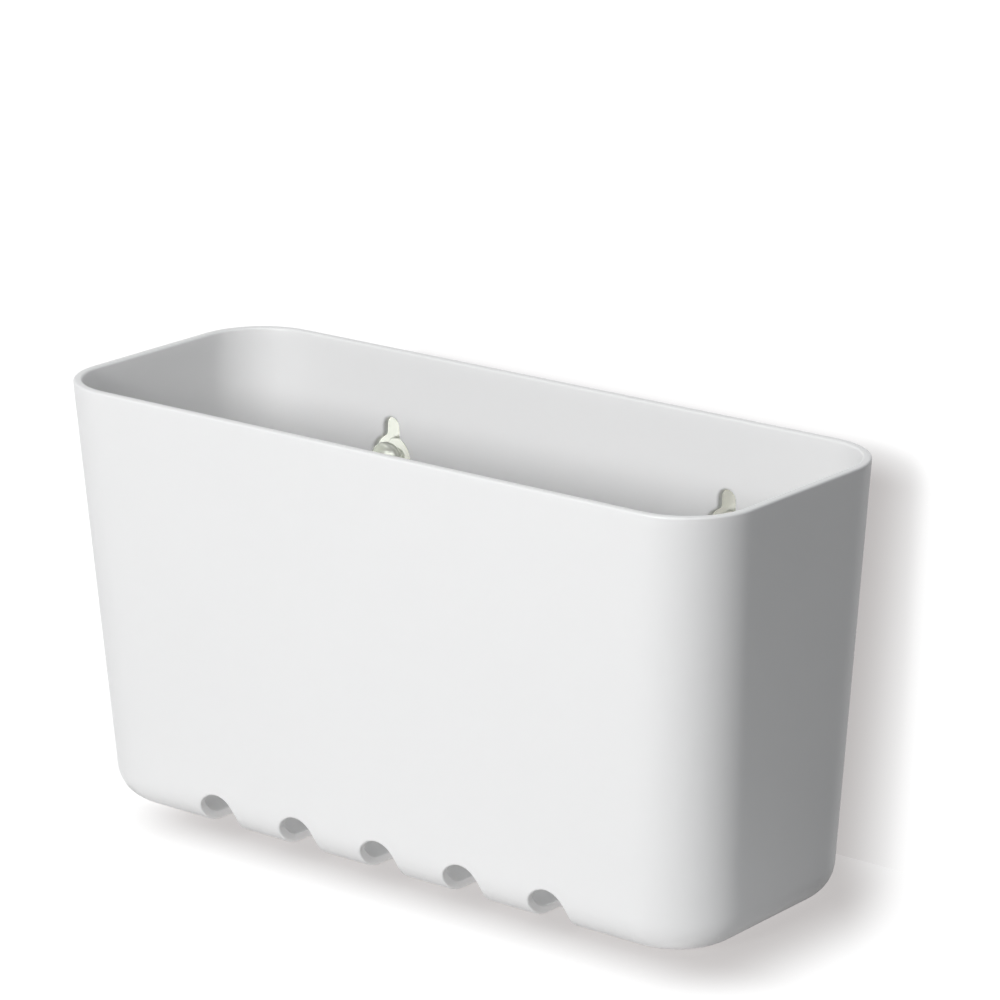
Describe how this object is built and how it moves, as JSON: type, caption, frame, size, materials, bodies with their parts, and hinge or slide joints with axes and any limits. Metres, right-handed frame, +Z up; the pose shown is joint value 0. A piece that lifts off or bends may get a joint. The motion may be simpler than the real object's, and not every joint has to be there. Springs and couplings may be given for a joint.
{
  "type": "suction basket",
  "caption": "Open-topped tapered bathroom basket with arched drains along its front base, held on a smooth wall by suction cups in keyholes.",
  "frame": {"origin": "on the table under the middle of the whole object, halfway between the front of the rim and the suction cups' lips", "axes": "+Z up, +Y towards the wall that the cups stick to, +X along the length to the right as seen from the front"},
  "size_m": [0.2066, 0.0921, 0.112],
  "materials": {
    "white_polypropylene": "satin moulded",
    "clear_vinyl": "soft translucent, glossy"
  },
  "bodies": {
    "basket": {"basket": "white_polypropylene"},
    "cup_left": {"suction_cup_left": "clear_vinyl"},
    "cup_right": {"suction_cup_right": "clear_vinyl"}
  },
  "joints": [
    {"name": "cup_left_slide", "type": "slide", "parent": "basket", "child": "cup_left", "axis": [0, 0, 1], "range_m": [-0.0038, 0.0086]},
    {"name": "cup_right_slide", "type": "slide", "parent": "basket", "child": "cup_right", "axis": [0, 0, 1], "range_m": [-0.0038, 0.0086]}
  ]
}
